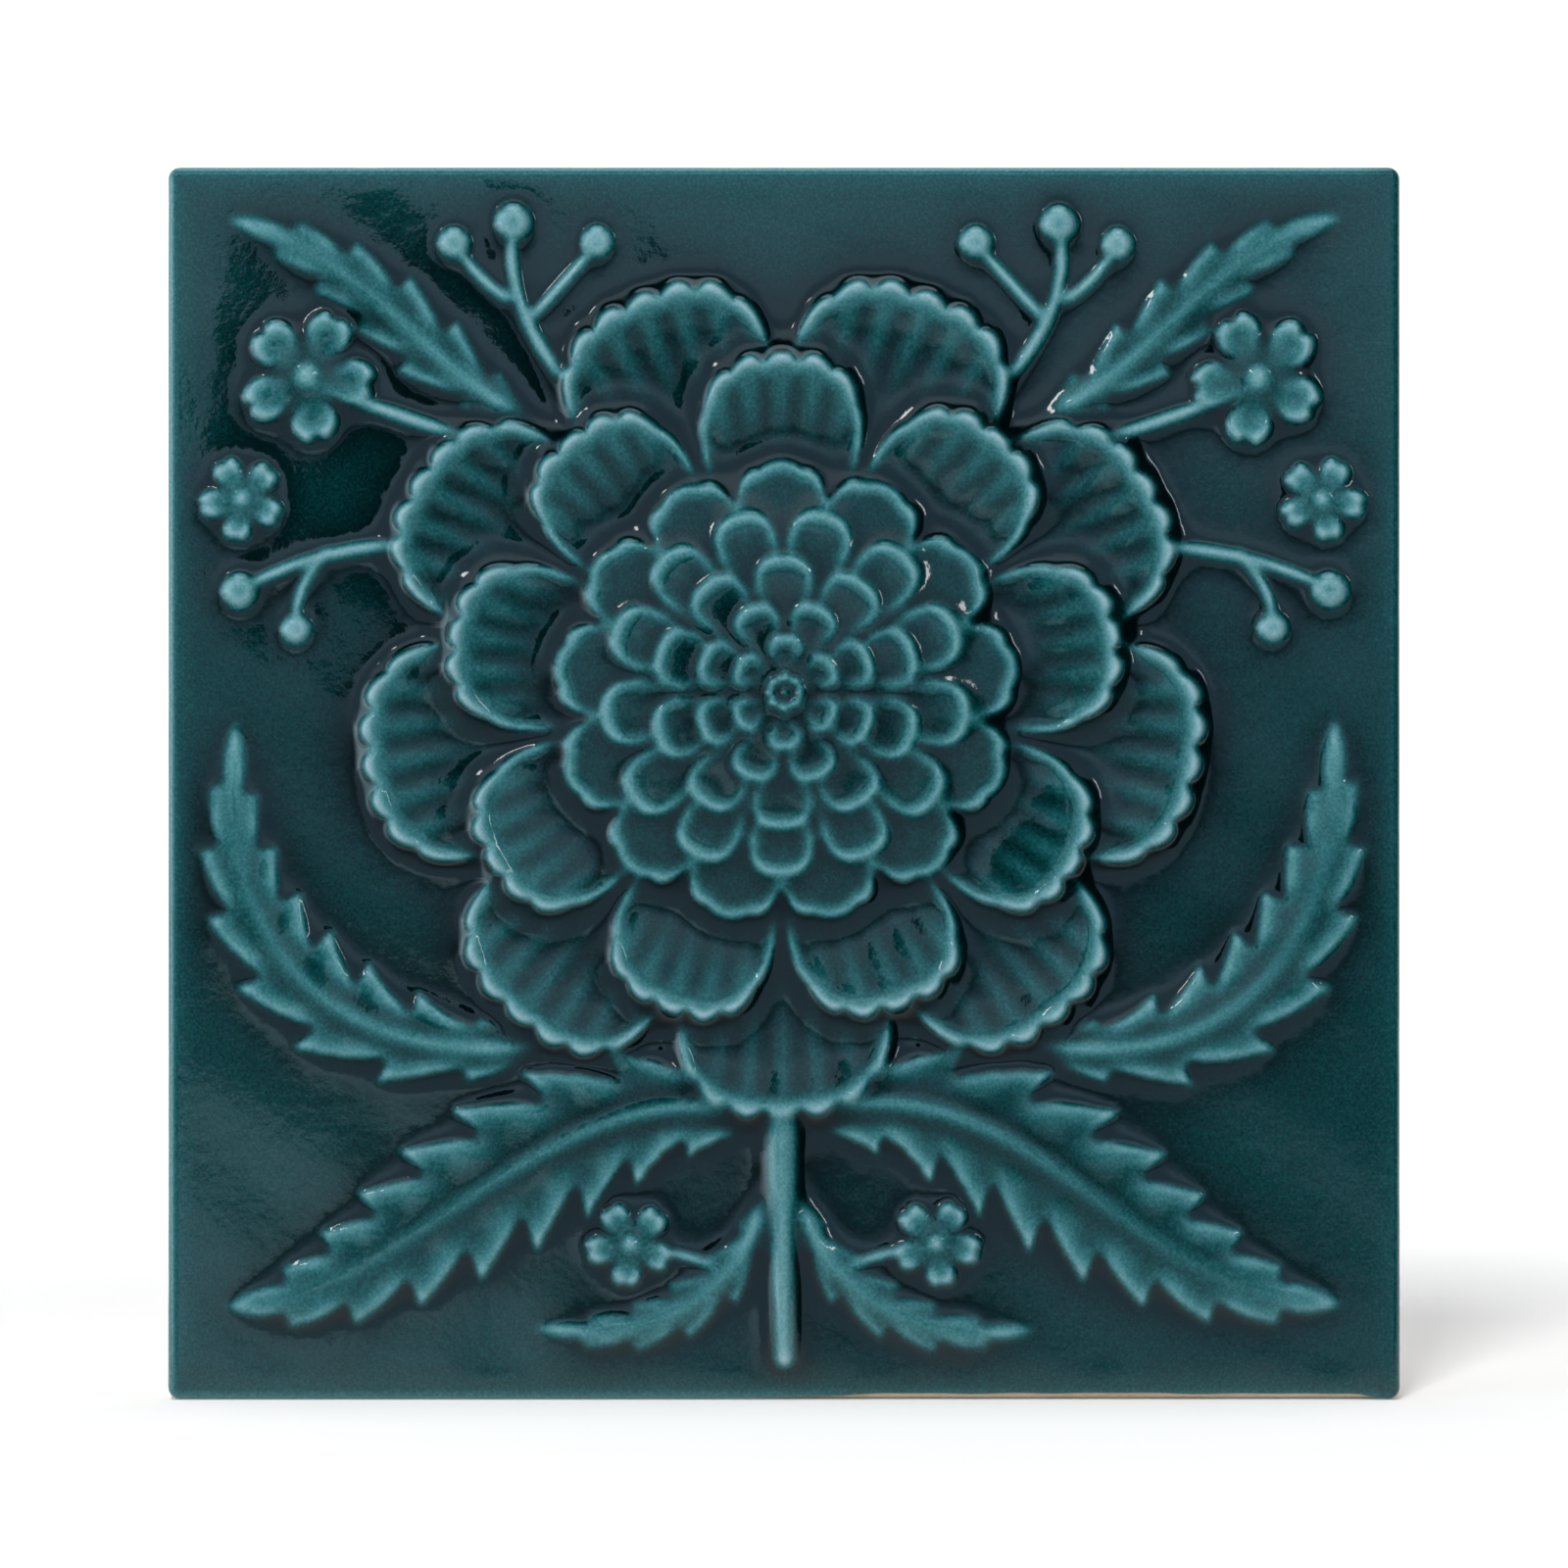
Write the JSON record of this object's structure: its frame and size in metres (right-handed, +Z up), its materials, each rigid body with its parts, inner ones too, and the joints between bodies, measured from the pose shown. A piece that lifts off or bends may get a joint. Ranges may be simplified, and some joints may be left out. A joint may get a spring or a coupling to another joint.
{
  "type": "relief wall tile",
  "caption": "Square relief-moulded wall tile with a glazed flower-and-leaf face and a keyed back, standing on its lower edge.",
  "frame": {"origin": "middle of the lower edge's flat face, halfway through the body's thickness", "axes": "+Z up the face, +Y out of the keyed back, so the glazed face looks along -Y, +X to the right as the face is seen"},
  "size_m": [0.152, 0.0173, 0.152],
  "materials": {
    "biscuit": "matt, unglazed, fine grained",
    "teal_glaze": "high gloss, translucent"
  },
  "bodies": {
    "root": {"biscuit_body": "biscuit", "glaze_coat": "teal_glaze"}
  },
  "joints": []
}
